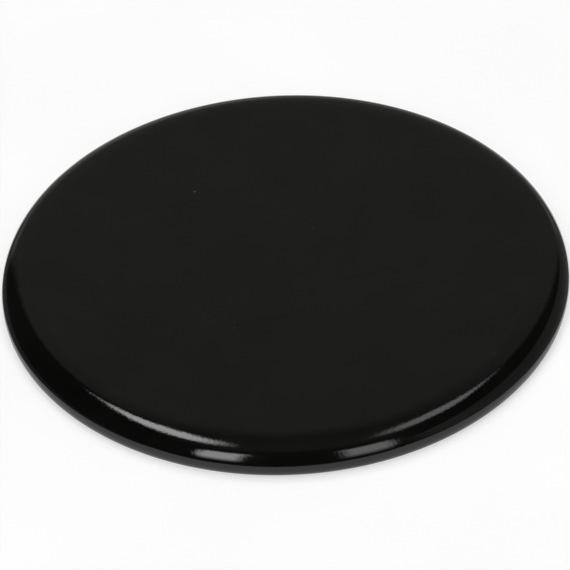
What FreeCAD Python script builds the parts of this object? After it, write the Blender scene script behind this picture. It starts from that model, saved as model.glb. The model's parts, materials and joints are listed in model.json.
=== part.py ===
import FreeCAD
import Part
import Sketcher
import math
import os

# A round burner cap in enamelled steel, pressed in one piece.
# A flat plate falls off through a wide crown arc and turns down through a tighter shoulder into a short
# wall, so the cap is a shallow dish that stands open side down. The outside of the wall is rounded off
# towards the foot, and a bevel inside follows the shoulder. A plain round rib under the plate centres the
# cap on the burner head.
# The origin is the middle of the plane that the foot stands on. +Z is up and lengths are in millimetres.

SIZES = {
    "cap_diameter": 100.0,
    "plate_thickness": 2.4,
    "crown_radius": 12.0,
    "crown_rise": 0.6,
    "shoulder_radius": 3.1,
    "inside_bevel": 1.0,
    "foot_land": 0.6,
    "foot_bevel": 0.2,
    "rib_diameter": 68.0,
    "rib_width": 2.0,
    "rib_above_foot": 0.7,
    "rib_bevel": 0.4,
}

doc = FreeCAD.newDocument("burner_cap_model")


# The driving sizes, one row each, with the size's name as its alias
def make_sheet():
    sheet = doc.addObject("Spreadsheet::Sheet", "sizes")
    for row, (name, value) in enumerate(SIZES.items(), start=1):
        sheet.set(f"A{row}", name)
        sheet.set(f"B{row}", str(value))
        sheet.setAlias(f"B{row}", name)
    doc.recompute()
    return sheet


sizes = make_sheet()

# Places in the section that several features share. The foot's land is the flat strip that the rounding
# leaves of the sheet's thickness, and the shoulder ends where the rounding starts. The crown lifts the flat
# top above the full circle of the shoulder, and the steepest part of the crown is where the two meet
cap_radius = sizes.cap_diameter / 2
foot_radius = sizes.plate_thickness - sizes.foot_land
cap_height = foot_radius + sizes.shoulder_radius + sizes.crown_rise
underside = cap_height - sizes.plate_thickness
shoulder_axis = cap_radius - sizes.shoulder_radius
crown_reach = sizes.crown_radius - sizes.shoulder_radius
meeting_angle = math.asin(1 - sizes.crown_rise / crown_reach)
crown_axis = shoulder_axis - crown_reach * math.cos(meeting_angle)
foot_axis = cap_radius - foot_radius
foot_inside = cap_radius - sizes.plate_thickness
rib_outside = sizes.rib_diameter / 2
rib_inside = rib_outside - sizes.rib_width


def new_section(body, name):
    """A sketch on the body's upright XZ plane: its x is the radius and its y is the height."""
    sketch = body.newObject("Sketcher::SketchObject", name)
    upright = next(plane for plane in body.Origin.OriginFeatures if plane.Role == "XZ_Plane")
    sketch.AttachmentSupport = [(upright, "")]
    sketch.MapMode = "FlatFace"
    return sketch


def point(radius, height):
    return FreeCAD.Vector(radius, height, 0)


def arc(center, radius, first, last):
    """Part of a circle, turning left from one angle to another: 0 points straight out."""
    circle = Part.Circle(center, FreeCAD.Vector(0, 0, 1), radius)
    return Part.ArcOfCircle(circle, first, last)


# A sketch's own numbers for its origin: the first point of its level axis
SKETCH_ORIGIN = (-1, 1)

# The height of the cap as a formula of the sheet's cells
HEIGHT = "sizes.plate_thickness - sizes.foot_land + sizes.shoulder_radius + sizes.crown_rise"


def dimension(sketch, name, formula, kind, *places):
    """Adds a named dimension whose value follows a formula of the sheet's cells."""
    value = sketch.evalExpression(formula)
    index = sketch.addConstraint(Sketcher.Constraint(kind, *places, value))
    sketch.renameConstraint(index, name)
    sketch.setExpression(f"Constraints.{name}", formula)


def revolve(body, sketch, name):
    feature = body.newObject("PartDesign::Revolution", name)
    feature.Profile = sketch
    feature.ReferenceAxis = (sketch, ["V_Axis"])
    feature.Angle = 360
    doc.recompute()
    return feature


def ring_edges(shape, height, radii):
    """Names of the round edges at one height that have one of the radii."""
    same_place = 1e-4
    names = []
    for number, edge in enumerate(shape.Edges, start=1):
        curve = edge.Curve
        if not isinstance(curve, Part.Circle):
            continue
        level = abs(curve.Center.z - height) < same_place
        listed = any(abs(curve.Radius - radius) < same_place for radius in radii)
        if level and listed:
            names.append(f"Edge{number}")
    if len(names) != len(radii):
        raise RuntimeError(f"found {len(names)} edges of radius {radii} at height {height}")
    return names


def bevel_edges(body, base, name, height, radii, formula):
    feature = body.newObject("PartDesign::Chamfer", name)
    feature.Base = (base, ring_edges(base.Shape, height, radii))
    feature.setExpression("Size", formula)
    doc.recompute()
    return feature


# Half of the sheet's section: flat plate and wall of one thickness, with crown, shoulder and foot outside
def make_pressed_cap(body):
    sketch = new_section(body, "cap_section")
    middle_bottom = point(0, underside)
    middle_top = point(0, cap_height)
    land_inside = point(foot_inside, 0)
    wall_top = point(foot_inside, underside)
    crown_center = point(crown_axis, cap_height - sizes.crown_radius)
    shoulder_center = point(shoulder_axis, foot_radius)
    foot_center = point(foot_axis, foot_radius)
    straight_up = math.pi / 2
    straight_down = 1.5 * math.pi

    middle = sketch.addGeometry(Part.LineSegment(middle_bottom, middle_top))
    top = sketch.addGeometry(Part.LineSegment(middle_top, point(crown_axis, cap_height)))
    crown = sketch.addGeometry(arc(crown_center, sizes.crown_radius, meeting_angle, straight_up))
    shoulder = sketch.addGeometry(arc(shoulder_center, sizes.shoulder_radius, 0, meeting_angle))
    rounding = sketch.addGeometry(arc(foot_center, foot_radius, straight_down, 2 * math.pi))
    foot = sketch.addGeometry(Part.LineSegment(point(foot_axis, 0), land_inside))
    wall = sketch.addGeometry(Part.LineSegment(land_inside, wall_top))
    under = sketch.addGeometry(Part.LineSegment(wall_top, middle_bottom))

    start, end, center = 1, 2, 3
    level_axis, upright_axis = -1, -2
    for rule in (
        ("Coincident", middle, end, top, start),
        ("Tangent", top, end, crown, end),
        ("Tangent", crown, start, shoulder, end),
        ("Tangent", shoulder, start, rounding, end),
        ("Tangent", rounding, start, foot, start),
        ("Coincident", foot, end, wall, start),
        ("Coincident", wall, end, under, start),
        ("Coincident", under, end, middle, start),
        ("PointOnObject", middle, start, upright_axis),
        ("PointOnObject", foot, start, level_axis),
        ("Vertical", middle),
        ("Horizontal", top),
        ("Horizontal", shoulder, center, shoulder, start),
        ("Horizontal", foot),
        ("Vertical", wall),
        ("Horizontal", under),
    ):
        sketch.addConstraint(Sketcher.Constraint(*rule))
    dimension(sketch, "cap_radius", "sizes.cap_diameter / 2", "DistanceX", *SKETCH_ORIGIN, shoulder, start)
    dimension(sketch, "cap_height", HEIGHT, "DistanceY", *SKETCH_ORIGIN, middle, end)
    dimension(sketch, "crown_radius", "sizes.crown_radius", "Radius", crown)
    dimension(sketch, "shoulder_radius", "sizes.shoulder_radius", "Radius", shoulder)
    dimension(sketch, "plate_thickness", "sizes.plate_thickness", "Distance", middle)
    dimension(sketch, "wall_thickness", "sizes.plate_thickness", "DistanceX", wall, start, shoulder, start)
    dimension(sketch, "foot_land", "sizes.foot_land", "Distance", foot)
    return revolve(body, sketch, "pressed_cap")


# The rib's section starts in the middle of the plate, so that the two join without a seam
def make_locating_rib(body):
    sketch = new_section(body, "rib_section")
    root = cap_height - sizes.plate_thickness / 2
    corners = [
        point(rib_inside, sizes.rib_above_foot),
        point(rib_outside, sizes.rib_above_foot),
        point(rib_outside, root),
        point(rib_inside, root),
    ]
    sides = []
    for here, following in zip(corners, corners[1:] + corners[:1]):
        sides.append(sketch.addGeometry(Part.LineSegment(here, following)))
    tip, outside, _, inside = sides

    start, end = 1, 2
    for side, following in zip(sides, sides[1:] + sides[:1]):
        sketch.addConstraint(Sketcher.Constraint("Coincident", side, end, following, start))
    for number, side in enumerate(sides):
        sketch.addConstraint(Sketcher.Constraint("Vertical" if number % 2 else "Horizontal", side))
    root_formula = f"{HEIGHT} - sizes.plate_thickness / 2"
    dimension(sketch, "rib_radius", "sizes.rib_diameter / 2", "DistanceX", *SKETCH_ORIGIN, outside, start)
    dimension(sketch, "rib_width", "sizes.rib_width", "Distance", tip)
    dimension(sketch, "rib_above_foot", "sizes.rib_above_foot", "DistanceY", *SKETCH_ORIGIN, tip, end)
    dimension(sketch, "rib_root", root_formula, "DistanceY", *SKETCH_ORIGIN, inside, start)
    return revolve(body, sketch, "locating_rib")


# Enamel does not hold on a sharp edge, so the tip of the rib and the inside of the foot are bevelled
def make_burner_cap():
    body = doc.addObject("PartDesign::Body", "burner_cap")
    body.Label = "burner_cap"
    make_pressed_cap(body)
    rib = make_locating_rib(body)
    rib_radii = [rib_outside, rib_inside]
    tip = bevel_edges(body, rib, "rib_tip", sizes.rib_above_foot, rib_radii, "sizes.rib_bevel")
    foot = bevel_edges(body, tip, "foot_edge", 0, [foot_inside], "sizes.foot_bevel")
    bevel_edges(body, foot, "inside_corner", underside, [foot_inside], "sizes.inside_bevel")
    return body


# Every object of the document has to be sound before a file is written
def check_document(parts):
    for item in doc.Objects:
        faults = {"Invalid", "Error"}.intersection(item.State)
        if faults:
            raise RuntimeError(f"{item.Label} is {faults}")
    for part in parts:
        if part.Shape.isNull() or not part.Shape.isValid():
            raise RuntimeError(f"{part.Label} has no sound shape")
        if len(part.Shape.Solids) != 1:
            raise RuntimeError(f"{part.Label} is not one solid")


def write_parts(parts):
    os.makedirs("parts", exist_ok=True)
    for part in parts:
        part.Shape.exportStep(f"parts/{part.Label}.step")
        box = part.Shape.optimalBoundingBox()
        print(f"{part.Label}: {box.XLength:.2f} x {box.YLength:.2f} x {box.ZLength:.2f} mm,"
              f" {part.Shape.Volume / 1000:.2f} cm3")


parts = [make_burner_cap()]
doc.recompute()
check_document(parts)
write_parts(parts)
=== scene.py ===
# %% [markdown]
# A gas burner cap in black enamel
#
# The cap is one steel pressing: a flat plate that falls off through a wide crown, turns down through a
# tighter shoulder and ends in a rounded foot. Glass enamel, fired on all over, makes it gloss black. The
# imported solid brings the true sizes, and this lesson gives the piece its skin, its studio and its camera.

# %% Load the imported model
import json
import math

import bmesh
import bpy
from mathutils import Matrix, Vector


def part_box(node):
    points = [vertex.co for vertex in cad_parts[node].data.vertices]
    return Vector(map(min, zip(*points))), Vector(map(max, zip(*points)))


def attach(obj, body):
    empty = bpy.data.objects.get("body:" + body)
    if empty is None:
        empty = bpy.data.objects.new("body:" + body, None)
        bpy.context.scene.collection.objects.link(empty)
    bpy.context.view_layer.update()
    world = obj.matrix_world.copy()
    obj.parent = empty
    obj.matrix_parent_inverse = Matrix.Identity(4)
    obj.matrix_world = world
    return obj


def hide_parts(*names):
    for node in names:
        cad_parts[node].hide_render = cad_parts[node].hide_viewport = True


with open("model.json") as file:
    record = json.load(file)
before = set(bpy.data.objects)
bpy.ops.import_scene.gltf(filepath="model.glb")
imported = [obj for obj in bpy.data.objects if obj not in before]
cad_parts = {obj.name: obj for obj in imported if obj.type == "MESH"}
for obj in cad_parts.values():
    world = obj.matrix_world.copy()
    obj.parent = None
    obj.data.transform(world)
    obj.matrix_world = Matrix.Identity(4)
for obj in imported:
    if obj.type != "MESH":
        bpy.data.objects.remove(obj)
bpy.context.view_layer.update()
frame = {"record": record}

scene = bpy.context.scene

# %% [markdown]
# Sizes
#
# The outside comes from the box of the solid. The hollow underside comes from the places of the mounts in
# the record: the level on which the cap lies on its burner, and the rib that keeps it centred there. The
# frame holds no radii of bends, so they are written here. Blender works in metres, so a millimetre has a
# name.

# %% Read the cap's sizes from the frame
MM = 0.001
_, high_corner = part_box("burner_cap")
mounts = {mount["name"]: mount for mount in frame["record"]["mounts"]}

cap_radius = high_corner.x
cap_height = high_corner.z
underside = mounts["head_rest"]["pos_m"][2]
plate_thickness = cap_height - underside
rib_outside = mounts["locating_rib"]["dims"]["r_mm"] * MM
rib_wall = mounts["locating_rib"]["dims"]["length_mm"] * MM

# Radii of the show side and the rib's width, as on the solid
crown_radius = 12.0 * MM
shoulder_radius = 3.1 * MM
foot_radius = 1.8 * MM
rib_width = 2.0 * MM

# Arcs in place of the solid's bevels, and where the rib meets the plate
bend_radius = 1.7 * MM
foot_edge = 0.2 * MM
rib_edge = 0.4 * MM
rib_root = 0.35 * MM
rib_tip = underside - rib_wall - rib_edge
print(f"cap {cap_radius / MM:.2f} mm in radius and {cap_height / MM:.2f} mm high")
print(f"plate {plate_thickness / MM:.2f} mm thick, rib {rib_outside / MM:.2f} mm in radius")

# %% [markdown]
# The show side
#
# From above, the cap is a flat top, a wide crown, a tighter shoulder and a rounding down to the foot. A
# lathe needs half of that section. It could be drawn as a curve and screwed round an axis, but arcs worked
# out here stay exactly tangent to each other, and a gloss surface shows every kink. An arc leaves out its
# first point where the arc before it ends there.

# %% Draw the section of the show side
crown_steps = 24
shoulder_steps = 40
foot_steps = 24

# Places of the rings on a flat, as shares of its radius: the last keeps the shading of the bend off it
FLAT_RINGS = (0.0, 0.5, 0.97)


def arc(center, radius, start, end, steps):
    """Points on a circle from one angle to another in degrees: 0 is straight out, 90 straight up."""
    points = []
    for step in range(steps + 1):
        angle = math.radians(start + (end - start) * step / steps)
        points.append((center[0] + radius * math.cos(angle), center[1] + radius * math.sin(angle)))
    return points


def flat(radius, height):
    """Points of a flat, from the middle outwards."""
    return [(radius * share, height) for share in FLAT_RINGS]


def show_side():
    reach = crown_radius - shoulder_radius
    rise = cap_height - foot_radius - shoulder_radius
    meeting = math.degrees(math.asin(1 - rise / reach))
    shoulder_axis = cap_radius - shoulder_radius
    crown_axis = shoulder_axis - reach * math.cos(math.radians(meeting))
    return (
        flat(crown_axis, cap_height)
        + arc((crown_axis, cap_height - crown_radius), crown_radius, 90, meeting, crown_steps)
        + arc((shoulder_axis, foot_radius), shoulder_radius, meeting, 0, shoulder_steps)[1:]
        + arc((cap_radius - foot_radius, foot_radius), foot_radius, 0, -90, foot_steps)[1:]
    )


outer_section = show_side()
print(len(outer_section), "points outside")

# %% [markdown]
# The underside
#
# Under its plate the cap is hollow, and a round rib centres it on the burner head. Enamel cannot hold a
# sharp edge, so each corner is a small arc. The arc of the inside bend touches the middle of the bevel that
# the solid has there. The section goes on from the foot to the middle of the plate.

# %% Draw the section of the underside
bend_steps = 24
edge_steps = 6


def foot_and_bend():
    inside = cap_radius - plate_thickness
    return (
        arc((inside + foot_edge, foot_edge), foot_edge, -90, -180, edge_steps)
        + arc((inside - bend_radius, underside - bend_radius), bend_radius, 0, 90, bend_steps)
    )


def rib():
    inside = rib_outside - rib_width
    return (
        arc((rib_outside + rib_root, underside - rib_root), rib_root, 90, 180, edge_steps)
        + arc((rib_outside - rib_edge, rib_tip + rib_edge), rib_edge, 0, -90, edge_steps)
        + arc((inside + rib_edge, rib_tip + rib_edge), rib_edge, -90, -180, edge_steps)
        + arc((inside - rib_root, underside - rib_root), rib_root, 0, 90, edge_steps)
    )


def plate_middle():
    return flat(rib_outside - rib_width - rib_root, underside)[::-1]


inner_section = foot_and_bend() + rib() + plate_middle()
print(len(inner_section), "points inside")

# %% [markdown]
# The pressing
#
# The section is turned about the upright axis with bmesh. A screw modifier would do the same, but a
# loop of our own lets each ring know whether it belongs to the show side or to the underside, which
# gets another coat. The two ends of the section lie on the axis and close with a fan of triangles.

# %% Turn the section into a mesh
STEPS_AROUND = 288
SHOW_COAT = 0
UNDER_COAT = 1


def ring(mesh, point):
    """A circle of vertices at one point of the section, or one vertex where the point is on the axis."""
    radius, height = point
    if radius == 0:
        return [mesh.verts.new((0, 0, height))]
    turns = [2 * math.pi * step / STEPS_AROUND for step in range(STEPS_AROUND)]
    return [mesh.verts.new((radius * math.cos(turn), radius * math.sin(turn), height)) for turn in turns]


def band(mesh, above, below, coat):
    """Faces between two neighbouring rings, either of which may be a single vertex."""
    for step in range(STEPS_AROUND):
        after = (step + 1) % STEPS_AROUND
        corners = [above[step % len(above)], below[step % len(below)], below[after % len(below)]]
        corners.append(above[after % len(above)])
        face = mesh.faces.new(list(dict.fromkeys(corners)))
        face.smooth = True
        face.material_index = coat


def turn_section(name, outer, inner):
    mesh = bmesh.new()
    rings = [ring(mesh, point) for point in outer + inner]
    for number, (above, below) in enumerate(zip(rings, rings[1:])):
        band(mesh, above, below, SHOW_COAT if number < len(outer) else UNDER_COAT)
    data = bpy.data.meshes.new(name)
    mesh.to_mesh(data)
    mesh.free()
    piece = bpy.data.objects.new(name, data)
    scene.collection.objects.link(piece)
    return piece


cap = turn_section("cap_body", outer_section, inner_section)
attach(cap, "root")
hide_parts("burner_cap")
print(cap.name, len(cap.data.polygons), "faces")

# %% [markdown]
# Working with nodes
#
# Coats, lamps and the room are all drawn with shader nodes. Four small helpers keep that short: one feeds
# a socket, one adds a node, one does a sum, and one fades smoothly from one value to another.


# %% Helpers for shader nodes
def feed(socket, value):
    """Links a socket to another node's output, or sets it to a plain value."""
    if isinstance(value, bpy.types.NodeSocket):
        socket.id_data.links.new(value, socket)
    else:
        socket.default_value = value


def add_node(tree, kind, **values):
    """A node with its named settings and inputs set."""
    node = tree.nodes.new(kind)
    for name, value in values.items():
        if hasattr(node, name):
            setattr(node, name, value)
        else:
            feed(node.inputs[name.replace("_", " ")], value)
    return node


def sum_of(tree, operation, *values):
    """One step of arithmetic with other nodes' outputs or plain values."""
    node = add_node(tree, "ShaderNodeMath", operation=operation)
    for socket, value in zip(node.inputs, values):
        feed(socket, value)
    return node.outputs["Value"]


def fade(tree, value, start, end, low=0.0, high=1.0):
    """Goes smoothly from low to high while the value goes from start to end."""
    node = add_node(tree, "ShaderNodeMapRange", interpolation_type="SMOOTHSTEP", Value=value)
    for name, number in (("From Min", start), ("From Max", end), ("To Min", low), ("To Max", high)):
        feed(node.inputs[name], number)
    return node.outputs["Result"]


print("helpers for nodes", [helper.__name__ for helper in (feed, add_node, sum_of, fade)])

# %% [markdown]
# Working with coats
#
# Fired enamel is never quite even: it has cloudy patches, slow waves and a fine orange peel. All of these
# are lumps of one size each. An image could hold them, but a noise texture needs no file and has no seams,
# and with the object's own coordinates its lumps keep their size in metres. Their height goes into a bump,
# because it is far too small to be modelled.

# %% Helpers for coats
# Nearly all values of a noise lie between these two
NOISE_SPAN = (0.3, 0.7)


def noise(tree, size, detail):
    """A noise whose lumps are about one size across, in metres."""
    place = add_node(tree, "ShaderNodeTexCoord").outputs["Object"]
    node = add_node(tree, "ShaderNodeTexNoise", Vector=place, Scale=1 / size, Detail=detail, Roughness=0.5)
    return node.outputs["Fac"]


def relief(tree, heights):
    """A chain of bumps, each a noise and the height of its lumps in metres."""
    normal = add_node(tree, "ShaderNodeNewGeometry").outputs["Normal"]
    for lumps, height in heights:
        bump = add_node(tree, "ShaderNodeBump", Strength=1.0, Distance=height, Height=lumps, Normal=normal)
        normal = bump.outputs["Normal"]
    return normal


def new_coat(name):
    """A new material, its nodes and the inputs of its surface."""
    material = bpy.data.materials.new(name)
    material.use_nodes = True
    return material, material.node_tree, material.node_tree.nodes["Principled BSDF"].inputs


print("helpers for coats", [helper.__name__ for helper in (noise, relief, new_coat)])

# %% [markdown]
# The grit
#
# Four grains of grit lie in the top, too small to have a shape. Each could be a tiny mesh, but a pale spot
# in the coat does as well. It is faded in by the distance from its middle.

# %% Scatter the grit
# Each grain's place on the top and its radius, in millimetres, and how pale it is
GRIT = (
    (Vector((-15.54, 20.29)), 0.33, 0.045),
    (Vector((5.28, 8.74)), 0.26, 0.013),
    (Vector((-9.10, -17.24)), 0.28, 0.015),
    (Vector((34.94, -27.07)), 0.50, 0.006),
)


def grit(tree):
    """The paleness of all grains at a place on the top."""
    place = add_node(tree, "ShaderNodeTexCoord").outputs["Object"]
    total = 0.0
    for middle, radius, paleness in GRIT:
        apart = add_node(tree, "ShaderNodeVectorMath", operation="DISTANCE")
        feed(apart.inputs[0], place)
        feed(apart.inputs[1], (middle.x * MM, middle.y * MM, cap_height))
        spot = fade(tree, apart.outputs["Value"], radius * MM, radius * MM / 3, high=paleness)
        total = sum_of(tree, "ADD", spot, total)
    return total


print(len(GRIT), "grains of grit")

# %% [markdown]
# The enamel
#
# Vitreous enamel is black glass, about a fifth of a millimetre thick, with a clear gloss of its own.
# Almost all that can be seen of it is what it mirrors. A clear coat over a black base would do too, but one
# glossy surface with the refraction of glass is the plain way. So the colour is nearly black, with a faint
# cloudiness, and the gloss carries the looks: the orange peel frays the edges of mirrored lamps, and the
# waves bend them a little.

# %% Mix the black enamel
GLASS_IOR = 1.5
WAVE_HEIGHT = 0.02 * MM
PEEL_HEIGHT = 0.007 * MM


def black_enamel():
    material, tree, surface = new_coat("black_enamel")
    surface["IOR"].default_value = GLASS_IOR
    clouds = noise(tree, size=9 * MM, detail=3.0)
    tint = fade(tree, clouds, *NOISE_SPAN, low=0.0006, high=0.0018)
    feed(surface["Base Color"], sum_of(tree, "ADD", tint, grit(tree)))
    feed(surface["Roughness"], fade(tree, clouds, *NOISE_SPAN, low=0.05, high=0.08))
    waves = noise(tree, size=6 * MM, detail=1.0)
    peel = noise(tree, size=0.5 * MM, detail=2.0)
    feed(surface["Normal"], relief(tree, [(waves, WAVE_HEIGHT), (peel, PEEL_HEIGHT)]))
    return material


cap.data.materials.append(black_enamel())
print("coats", [coat.name for coat in cap.data.materials])

# %% [markdown]
# The ground coat
#
# The hollow underside gets only the thin ground coat. It is nearly as dark, but rougher and duller,
# because no cover coat was fired over it and it lies on the burner where nobody sees it. It is mixed as
# the enamel is, with a coarser relief.

# %% Mix the ground coat
GRAIN_HEIGHT = 0.02 * MM


def ground_coat():
    material, tree, surface = new_coat("ground_coat")
    surface["IOR"].default_value = GLASS_IOR
    clouds = noise(tree, size=5 * MM, detail=4.0)
    feed(surface["Base Color"], fade(tree, clouds, *NOISE_SPAN, low=0.003, high=0.0075))
    feed(surface["Roughness"], fade(tree, clouds, *NOISE_SPAN, low=0.2, high=0.34))
    grain = noise(tree, size=0.5 * MM, detail=4.0)
    feed(surface["Normal"], relief(tree, [(grain, GRAIN_HEIGHT)]))
    return material


cap.data.materials.append(ground_coat())
print("coats", [coat.name for coat in cap.data.materials])

# %% [markdown]
# Paper
#
# The table and the cards round it are sheets of paper. A flat face with a few corners is enough for each.
# Paper has no gloss, so its shader gets no specular at all, and a slow noise makes its shade uneven.

# %% Helpers for sheets of paper
PAPER_ROUGHNESS = 0.9
PAPER_UNEVENNESS = 0.02


def paper(name, shade):
    material, tree, surface = new_coat(name)
    surface["Roughness"].default_value = PAPER_ROUGHNESS
    surface["Specular IOR Level"].default_value = 0.0
    clouds = noise(tree, size=40 * MM, detail=2.0)
    darkest, palest = shade * (1 - PAPER_UNEVENNESS), shade * (1 + PAPER_UNEVENNESS)
    feed(surface["Base Color"], fade(tree, clouds, *NOISE_SPAN, low=darkest, high=palest))
    return material


def flat_sheet(name, corners, height, shade):
    """A level sheet of paper that belongs to the studio."""
    data = bpy.data.meshes.new(name)
    data.from_pydata([(corner.x, corner.y, height) for corner in corners], [], [range(len(corners))])
    sheet = bpy.data.objects.new(name, data)
    data.materials.append(paper(name + "_paper", shade))
    scene.collection.objects.link(sheet)
    return sheet


print("helpers for paper", [helper.__name__ for helper in (paper, flat_sheet)])

# %% [markdown]
# The table
#
# The cap stands on a plain white table that reaches past the horizon that its gloss edge mirrors. More
# light would make the table whiter, but the cap brighter too. So the lamps give less than half of its white
# and keep the cap's shadow, and the rest is a glow that only the camera and mirrors see.

# %% Lay the table
TABLE_REACH = 8.0
TABLE_SHADE = 0.5
TABLE_GLOW = 0.57


def glow_when_seen(sheet, strength):
    """Lets a sheet glow for the camera, in mirrors and through glass, without lighting anything."""
    tree = sheet.data.materials[0].node_tree
    surface = tree.nodes["Principled BSDF"].inputs
    path = add_node(tree, "ShaderNodeLightPath").outputs
    mirrored = sum_of(tree, "MAXIMUM", path["Is Glossy Ray"], path["Is Transmission Ray"])
    seen = sum_of(tree, "MAXIMUM", path["Is Camera Ray"], mirrored)
    surface["Emission Color"].default_value = (1, 1, 1, 1)
    feed(surface["Emission Strength"], sum_of(tree, "MULTIPLY", seen, strength))


table_corners = [Vector((x, y)) * TABLE_REACH for x, y in ((-1, -1), (1, -1), (1, 1), (-1, 1))]
floor = flat_sheet("floor", table_corners, height=0.0, shade=TABLE_SHADE)
glow_when_seen(floor, TABLE_GLOW)
print("floor", 2 * TABLE_REACH, "m wide")

# %% [markdown]
# The cards
#
# A gloss black edge mirrors the whole table, and on pure white it would wear a bright rim. Photographers
# lay dark cards round such a piece, just outside the picture. Here are four, darkest in front and palest
# behind. Only mirror rays meet them: the camera and the table's light pass them by, so that other views
# show a plain table.

# %% Lay dark cards outside the picture
CARD_LIFT = 0.1 * MM
# The outer edge of a card is this many times as far off as its inner edge
CARD_REACH = 40
# Corners of the table just outside the picture in millimetres, from the front left to the back left
PICTURE_CORNERS = ((-50, -70.5), (45.2, -76.5), (58.4, 81.5), (-54, 90.2))
CARD_SHADES = {"front_card": 0.12, "right_card": 0.23, "back_card": 0.26, "left_card": 0.15}

inner_corners = [Vector(corner) * MM for corner in PICTURE_CORNERS]
next_corners = inner_corners[1:] + inner_corners[:1]
for (name, shade), start, end in zip(CARD_SHADES.items(), inner_corners, next_corners):
    outline = [start, start * CARD_REACH, end * CARD_REACH, end]
    card = flat_sheet(name, outline, CARD_LIFT, shade)
    card.visible_camera = False
    card.visible_diffuse = False
    card.visible_shadow = False
print("cards", list(CARD_SHADES))

# %% [markdown]
# The lamps
#
# On gloss black the lamps are the picture. The mirrored streaks on the shoulder tell where they stood:
# two tall boxes in front, left and right, and two smaller ones high behind, each pair brighter on the left.
# Directions are angles round the cap, from the camera towards the right, and above the table. Brightness is
# given as it would look, with 1 for white, and turned into lamp power. Glowing meshes would do as well, but
# area lamps give less noise.

# %% Helpers for soft boxes
LAMP_DISTANCE = 2.5


def direction(azimuth, elevation):
    """A unit vector from the cap, with azimuth 0 towards the camera and 90 to the right."""
    turn, rise = math.radians(azimuth), math.radians(elevation)
    return Vector((math.cos(rise) * math.sin(turn), -math.cos(rise) * math.cos(turn), math.sin(rise)))


def soft_box(name, place, aim, width, height, brightness, roll=0.0):
    lamp = bpy.data.lights.new(name, "AREA")
    lamp.shape = "RECTANGLE"
    lamp.size = width
    lamp.size_y = height
    lamp.energy = brightness * math.pi * width * height
    holder = bpy.data.objects.new(name, lamp)
    facing = (aim - place).to_track_quat("-Z", "Y").to_matrix().to_4x4()
    holder.matrix_world = Matrix.Translation(place) @ facing @ Matrix.Rotation(math.radians(roll), 4, "Z")
    holder.visible_camera = False
    scene.collection.objects.link(holder)
    return holder


def studio_box(name, azimuth, elevation, width, height, brightness, roll, aim_height=0.0):
    """The lamp of a soft box that fills two angles in degrees, as seen from the cap."""
    place = direction(azimuth, elevation) * LAMP_DISTANCE
    across, along = (2 * LAMP_DISTANCE * math.tan(math.radians(angle) / 2) for angle in (width, height))
    return soft_box(name, place, Vector((0, 0, aim_height)), across, along, brightness, roll).data


print("soft boxes stand", LAMP_DISTANCE, "m from the cap")

# %% [markdown]
# The two in front are tall boxes that lean over less than they would to face the cap, so they look narrower
# towards the top. The cloth of a soft box is dimmer towards its edges, and a few nodes draw that.

# %% Set up the tall boxes in front
# Height in metres of the point over the cap that the tall boxes face
TALL_BOX_AIM = 1.2
# Places on a lamp run from 0 to 1, so its middle is at a half, and each edge is a half away from it
HALF = 0.5


def dim_edges(lamp, across, along):
    """Fades a lamp out over a share of its width and of its height at each edge."""
    lamp.use_nodes = True
    tree = lamp.node_tree
    place = add_node(tree, "ShaderNodeNewGeometry").outputs["Parametric"]
    parts = add_node(tree, "ShaderNodeSeparateXYZ", Vector=place).outputs
    strength = 1.0
    for axis, share in (("X", across), ("Y", along)):
        from_middle = sum_of(tree, "ABSOLUTE", sum_of(tree, "SUBTRACT", parts[axis], HALF))
        strength = sum_of(tree, "MULTIPLY", fade(tree, from_middle, HALF, HALF - share), strength)
    feed(tree.nodes["Emission"].inputs["Strength"], strength)


strip_left = studio_box(
    "strip_left", azimuth=-31.1, elevation=46.4, width=16.4, height=63.5,
    brightness=5.4, roll=8, aim_height=TALL_BOX_AIM,
)
strip_right = studio_box(
    "strip_right", azimuth=31.0, elevation=43.2, width=19.6, height=65.0,
    brightness=2.5, roll=-8, aim_height=TALL_BOX_AIM,
)
for lamp in (strip_left, strip_right):
    dim_edges(lamp, across=0.25, along=0.33)
    print(lamp.name, round(lamp.size, 2), "by", round(lamp.size_y, 2), "m")

# %% [markdown]
# The two behind are oval boxes that narrow towards their low end, which draws each mirrored streak out to
# a point. They fade from the middle outwards.


# %% Set up the oval boxes behind
def dim_outwards(lamp, share, low_width):
    """Fades a lamp out over a share of its radius, and narrows it towards its low end."""
    lamp.use_nodes = True
    tree = lamp.node_tree
    place = add_node(tree, "ShaderNodeNewGeometry").outputs["Parametric"]
    parts = add_node(tree, "ShaderNodeSeparateXYZ", Vector=place).outputs
    narrowing = fade(tree, parts["Y"], 0.0, HALF, low=low_width)
    across = sum_of(tree, "DIVIDE", sum_of(tree, "SUBTRACT", parts["X"], HALF), narrowing)
    along = sum_of(tree, "SUBTRACT", parts["Y"], HALF)
    offset = add_node(tree, "ShaderNodeCombineXYZ", X=across, Y=along).outputs["Vector"]
    radius = add_node(tree, "ShaderNodeVectorMath", operation="LENGTH")
    feed(radius.inputs[0], offset)
    strength = fade(tree, radius.outputs["Value"], HALF, HALF * (1 - share))
    feed(tree.nodes["Emission"].inputs["Strength"], strength)


high_left = studio_box(
    "high_left", azimuth=-143.3, elevation=65.8, width=11.5, height=25.8, brightness=6.5, roll=-9.5
)
high_right = studio_box(
    "high_right", azimuth=137.2, elevation=64.7, width=10.2, height=26.0, brightness=2.08, roll=12.5
)
for lamp in (high_left, high_right):
    dim_outwards(lamp, share=0.6, low_width=0.45)
    print(lamp.name, round(lamp.size, 2), "by", round(lamp.size_y, 2), "m")

# %% [markdown]
# The boxes alone leave the table a little dim. A large panel straight above brings its light to a plain
# level. It is hidden from mirror rays, because the flat top shows no lamp.

# %% Hang the fill panel
FILL_WIDTH = 1.6
FILL_HEIGHT = 1.5
FILL_BRIGHTNESS = 1.45

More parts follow.
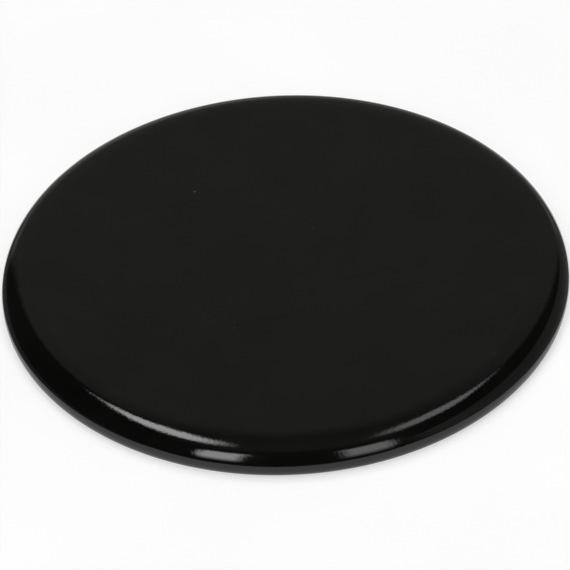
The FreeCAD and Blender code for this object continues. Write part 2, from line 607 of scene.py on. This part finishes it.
fill_place = Vector((0, 0, FILL_HEIGHT))
fill = soft_box("fill_panel", fill_place, Vector(), FILL_WIDTH, FILL_WIDTH, FILL_BRIGHTNESS)
fill.visible_glossy = False
print(fill.name, round(fill.data.energy, 1), "W")

# %% [markdown]
# The room
#
# Behind the cap hangs a dim paper backdrop, a low grey board stands on the right, and the rest of the room
# is darker still. All three could be built, but they are so far off that only their direction counts. So
# the world draws them from the azimuth and the elevation of a ray, in degrees, with the lamps' angles:
# 90 is to the right, 180 behind and 270 to the left.

# %% Find the direction of a ray
RIGHT_ANGLE = 90.0

scene.world = bpy.data.worlds.new("studio_room")
scene.world.use_nodes = True
room = scene.world.node_tree

ray = add_node(room, "ShaderNodeTexCoord").outputs["Generated"]
ray_parts = add_node(room, "ShaderNodeSeparateXYZ", Vector=ray).outputs
turn_from_right = sum_of(room, "DEGREES", sum_of(room, "ARCTAN2", ray_parts["Y"], ray_parts["X"]))
ray_azimuth = sum_of(room, "ADD", turn_from_right, RIGHT_ANGLE)
ray_elevation = sum_of(room, "DEGREES", sum_of(room, "ARCSINE", ray_parts["Z"]))
print("world", scene.world.name)

# %% [markdown]
# The flat top mirrors the backdrop, and that is the whole of its colour. The paper's grey goes up and down
# with its height, its left edge leans, and low in the middle it catches a glow from the table. A colour
# ramp holds the greys, and fades draw the soft edges.

# %% Hang the backdrop
# Degrees above the table and the paper's grey there
BACKDROP_GREYS = ((0, 0.17), (20, 0.17), (40, 0.215), (50, 0.19), (62, 0.11), (78, 0.15))
# Azimuths from where the paper begins to show to where it shows in full
RIGHT_EDGE = (143.0, 149.0)
LEFT_EDGE = (218.0, 212.0)
LEFT_EDGE_LEAN = 0.19
# The glow's middle, its spread in azimuth, its top edge in elevation and how fast that rises sideways
GLOW_MIDDLE = 177.0
GLOW_SPREAD = (12.0, 30.0)
GLOW_TOP = (8.0, -4.0)
GLOW_RISE = 0.45


def greys(elevation, stops):
    """A grey that follows stops, each an elevation in degrees and a level."""
    ramp = add_node(room, "ShaderNodeValToRGB", Fac=sum_of(room, "DIVIDE", elevation, RIGHT_ANGLE))
    points = ramp.color_ramp.elements
    while len(points) < len(stops):
        points.new(1.0)
    for point, (degrees, level) in zip(points, stops):
        point.position = degrees / RIGHT_ANGLE
        point.color = (level, level, level, 1)
    return ramp.outputs["Color"]


def table_glow():
    from_middle = sum_of(room, "ABSOLUTE", sum_of(room, "SUBTRACT", ray_azimuth, GLOW_MIDDLE))
    height = sum_of(room, "MULTIPLY_ADD", from_middle, -GLOW_RISE, ray_elevation)
    level = fade(room, from_middle, *GLOW_SPREAD, low=0.34, high=0.22)
    return sum_of(room, "MULTIPLY", fade(room, height, *GLOW_TOP), level)


leaning_azimuth = sum_of(room, "MULTIPLY_ADD", ray_elevation, LEFT_EDGE_LEAN, ray_azimuth)
left_mask = fade(room, leaning_azimuth, *LEFT_EDGE)
right_mask = fade(room, ray_azimuth, *RIGHT_EDGE)
backdrop_mask = sum_of(room, "MULTIPLY", right_mask, left_mask)
backdrop = sum_of(room, "ADD", greys(ray_elevation, BACKDROP_GREYS), table_glow())
print("backdrop greys", [level for degrees, level in BACKDROP_GREYS])

# %% [markdown]
# The board on the right is grey, with a level top. The right end of the cap mirrors it as a soft step. A
# plane through the cap and the board's top edge tells which rays pass below that edge, and that takes only
# the three parts of a ray.

# %% Stand the board on the right
# Azimuths over which the board's front end fades in, and over which its grey falls
BOARD_FRONT = (40.0, 52.0)
BOARD_SHADING = (64.0, 84.0)
# The height of the top for each metre of distance, the board's turn and the softness of the edge
BOARD_SLOPE = 0.82
BOARD_TURN = -0.1
BOARD_SOFTNESS = 0.07

towards_board = sum_of(room, "MULTIPLY_ADD", ray_parts["Y"], BOARD_TURN, ray_parts["X"])
board_top = sum_of(room, "MULTIPLY", towards_board, BOARD_SLOPE)
below_top = sum_of(room, "SUBTRACT", board_top, ray_parts["Z"])
under_edge = fade(room, below_top, -BOARD_SOFTNESS, BOARD_SOFTNESS)
board_mask = sum_of(room, "MULTIPLY", fade(room, ray_azimuth, *BOARD_FRONT), under_edge)
board = fade(room, ray_azimuth, *BOARD_SHADING, low=0.25, high=0.185)
print("board from azimuth", BOARD_FRONT[0], "degrees")

# %% [markdown]
# What is left is the dark of the room, a little paler in front, and a dim ceiling that is paler behind. The
# layers are laid over each other, the backdrop last, and tinted a little warm as the mirrored paper is.
# The standard view shows colours as they are written.

# %% Put the room together
# Elevations over which the ceiling begins
CEILING_EDGE = (66.0, 80.0)
# How far a ray points to the back, from where the front's level ends to where the back's begins
CEILING_CHANGE = (-0.2, 0.2)
WALL_CHANGE = (-0.5, 0.5)
ROOM_TINT = (0.97, 0.965, 0.86, 1)


def layer(mask, below, above):
    """One level laid over another where the mask is 1."""
    mix = add_node(room, "ShaderNodeMix", data_type="FLOAT", Factor=mask, A=below, B=above)
    return mix.outputs["Result"]


ceiling_level = fade(room, ray_parts["Y"], *CEILING_CHANGE, low=0.015, high=0.1)
ceiling = sum_of(room, "MULTIPLY", fade(room, ray_elevation, *CEILING_EDGE), ceiling_level)
walls = fade(room, ray_parts["Y"], *WALL_CHANGE, low=0.06, high=0.045)
darkness = sum_of(room, "ADD", walls, ceiling)

background = room.nodes["Background"].inputs
background["Color"].default_value = ROOM_TINT
feed(background["Strength"], layer(backdrop_mask, layer(board_mask, darkness, board), backdrop))
scene.view_settings.view_transform = "Standard"
print("room of", len(room.nodes), "nodes")

# %% [markdown]
# The camera
#
# A long lens looks down on the cap from the front. Its height is found from how flat the round outline
# looks, and its distance from how little wider the near edge is than the far one. The camera leans a
# little to one side, which lifts the right of the cap in the picture.

# %% Place the camera
CAMERA_DISTANCE = 0.7
CAMERA_ELEVATION = 40.71
CAMERA_LEAN = 2.66
FOCAL_LENGTH = 250.3
SENSOR_WIDTH = 36.0
aim_point = Vector((-0.10, 0, -0.12)) * MM

lens = bpy.data.cameras.new("camera")
lens.lens = FOCAL_LENGTH
lens.sensor_width = SENSOR_WIDTH
camera = bpy.data.objects.new("camera", lens)
camera_place = aim_point + direction(0, CAMERA_ELEVATION) * CAMERA_DISTANCE
look = (aim_point - camera_place).to_track_quat("-Z", "Y").to_matrix().to_4x4()
lean = Matrix.Rotation(math.radians(-CAMERA_LEAN), 4, "Z")
camera.matrix_world = Matrix.Translation(camera_place) @ look @ lean
scene.collection.objects.link(camera)
scene.camera = camera
print("camera", [round(value, 3) for value in camera.location])
